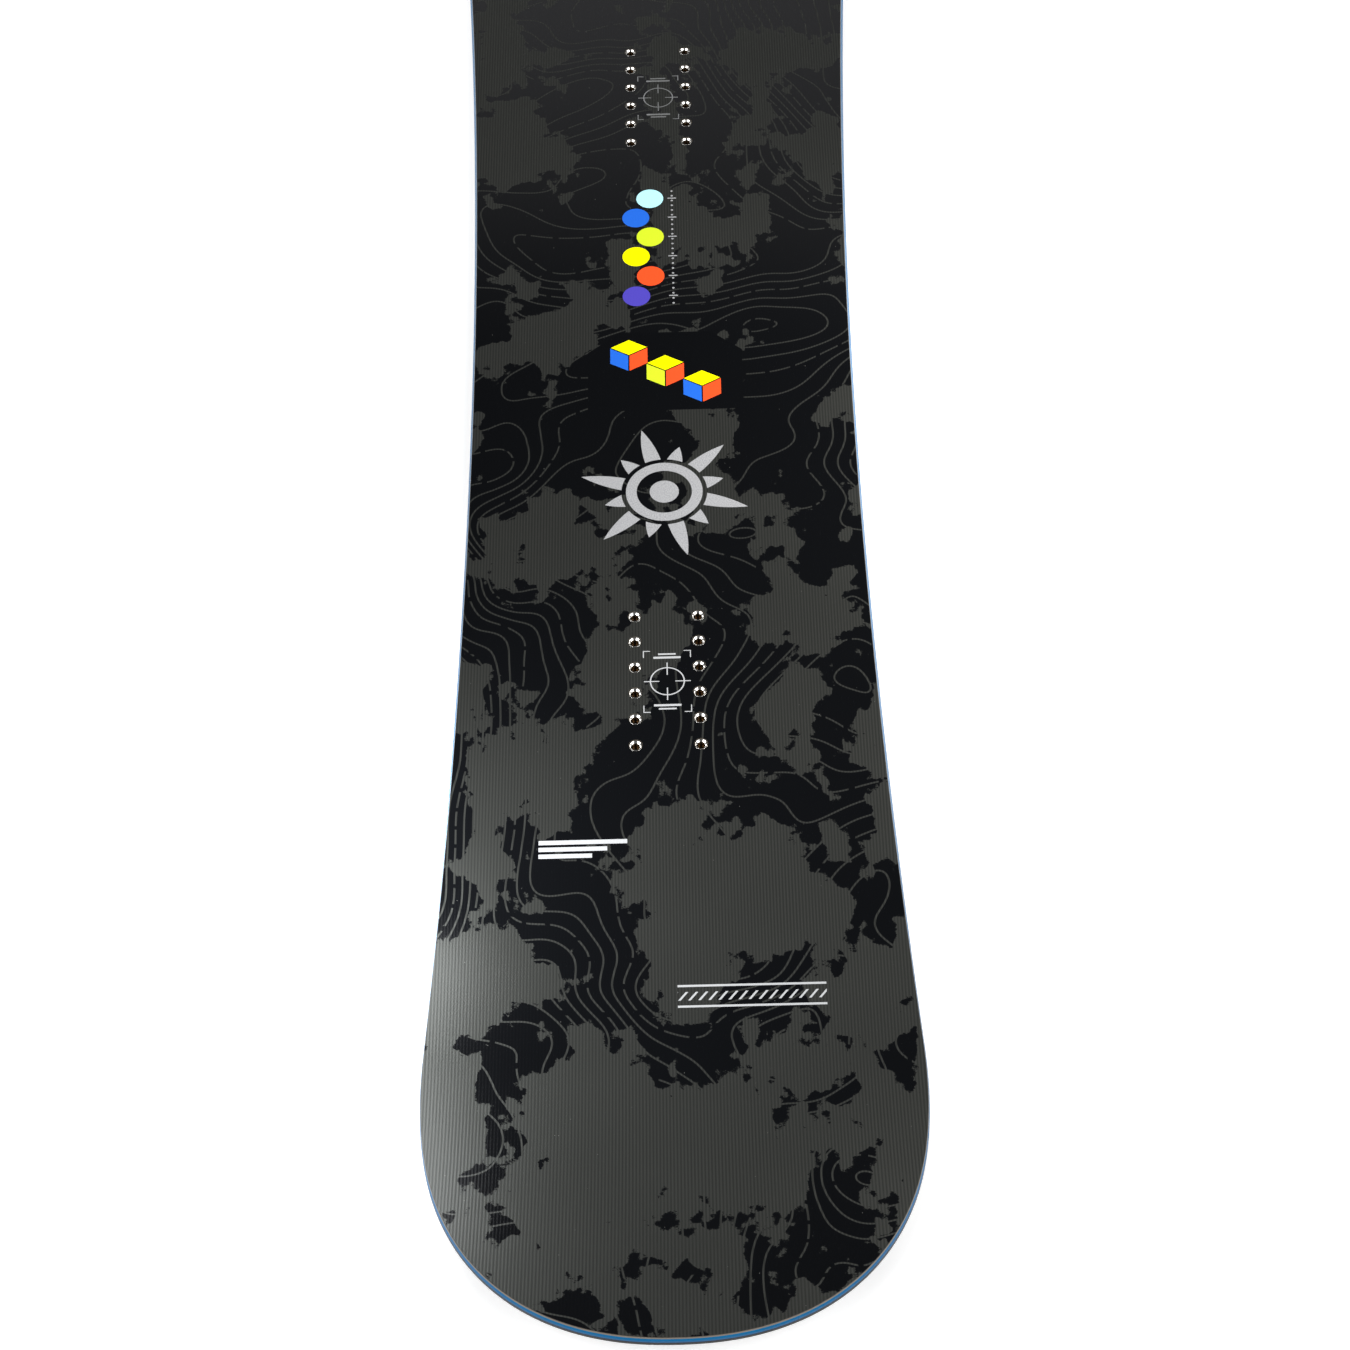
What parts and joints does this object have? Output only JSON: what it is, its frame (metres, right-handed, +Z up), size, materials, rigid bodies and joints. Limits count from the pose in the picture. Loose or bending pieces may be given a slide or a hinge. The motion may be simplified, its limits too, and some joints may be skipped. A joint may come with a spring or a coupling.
{
  "type": "snowboard",
  "caption": "Directional snowboard of sandwich construction, with raised tips, camber, sidecut and threaded binding inserts in two groups; no bindings fitted.",
  "frame": {"origin": "on the floor under the middle of the board's length and width, the board standing on its two contact lines", "axes": "+Y along the board towards the nose, +Z up, +X to the right when facing the nose"},
  "size_m": [0.3068, 1.5274, 0.0605],
  "materials": {
    "printed_topsheet": "satin printed film over woven glass, near black with olive-grey print",
    "glass_laminate": "cured glass-fibre laminate, machined edge",
    "core_wood": "planed poplar, inside the board",
    "blue_abs": "blue ABS, machined and polished",
    "edge_steel": "ground steel edge",
    "insert_steel": "turned stainless steel",
    "damping_rubber": "thin black rubber sheet, inside the board",
    "sintered_base": "sintered polyethylene with a fine ground structure"
  },
  "bodies": {
    "root": {"base_sheet": "sintered_base", "core_strip_left_1": "core_wood", "core_strip_left_2": "core_wood", "core_strip_left_3": "core_wood", "core_strip_left_4": "core_wood", "core_strip_left_5": "core_wood", "core_strip_left_6": "core_wood", "core_strip_middle": "core_wood", "core_strip_right_1": "core_wood", "core_strip_right_2": "core_wood", "core_strip_right_3": "core_wood", "core_strip_right_4": "core_wood", "core_strip_right_5": "core_wood", "core_strip_right_6": "core_wood", "damping_sheet": "damping_rubber", "insert_front_left_1": "insert_steel", "insert_front_left_2": "insert_steel", "insert_front_left_3": "insert_steel", "insert_front_left_4": "insert_steel", "insert_front_left_5": "insert_steel", "insert_front_left_6": "insert_steel", "insert_front_right_1": "insert_steel", "insert_front_right_2": "insert_steel", "insert_front_right_3": "insert_steel", "insert_front_right_4": "insert_steel", "insert_front_right_5": "insert_steel", "insert_front_right_6": "insert_steel", "insert_rear_left_1": "insert_steel", "insert_rear_left_2": "insert_steel", "insert_rear_left_3": "insert_steel", "insert_rear_left_4": "insert_steel", "insert_rear_left_5": "insert_steel", "insert_rear_left_6": "insert_steel", "insert_rear_right_1": "insert_steel", "insert_rear_right_2": "insert_steel", "insert_rear_right_3": "insert_steel", "insert_rear_right_4": "insert_steel", "insert_rear_right_5": "insert_steel", "insert_rear_right_6": "insert_steel", "lower_glass": "glass_laminate", "nose_filler": "blue_abs", "sidewall_left": "blue_abs", "sidewall_right": "blue_abs", "steel_edge_left": "edge_steel", "steel_edge_right": "edge_steel", "tail_filler": "blue_abs", "topsheet": "printed_topsheet", "upper_glass": "glass_laminate"}
  },
  "joints": []
}
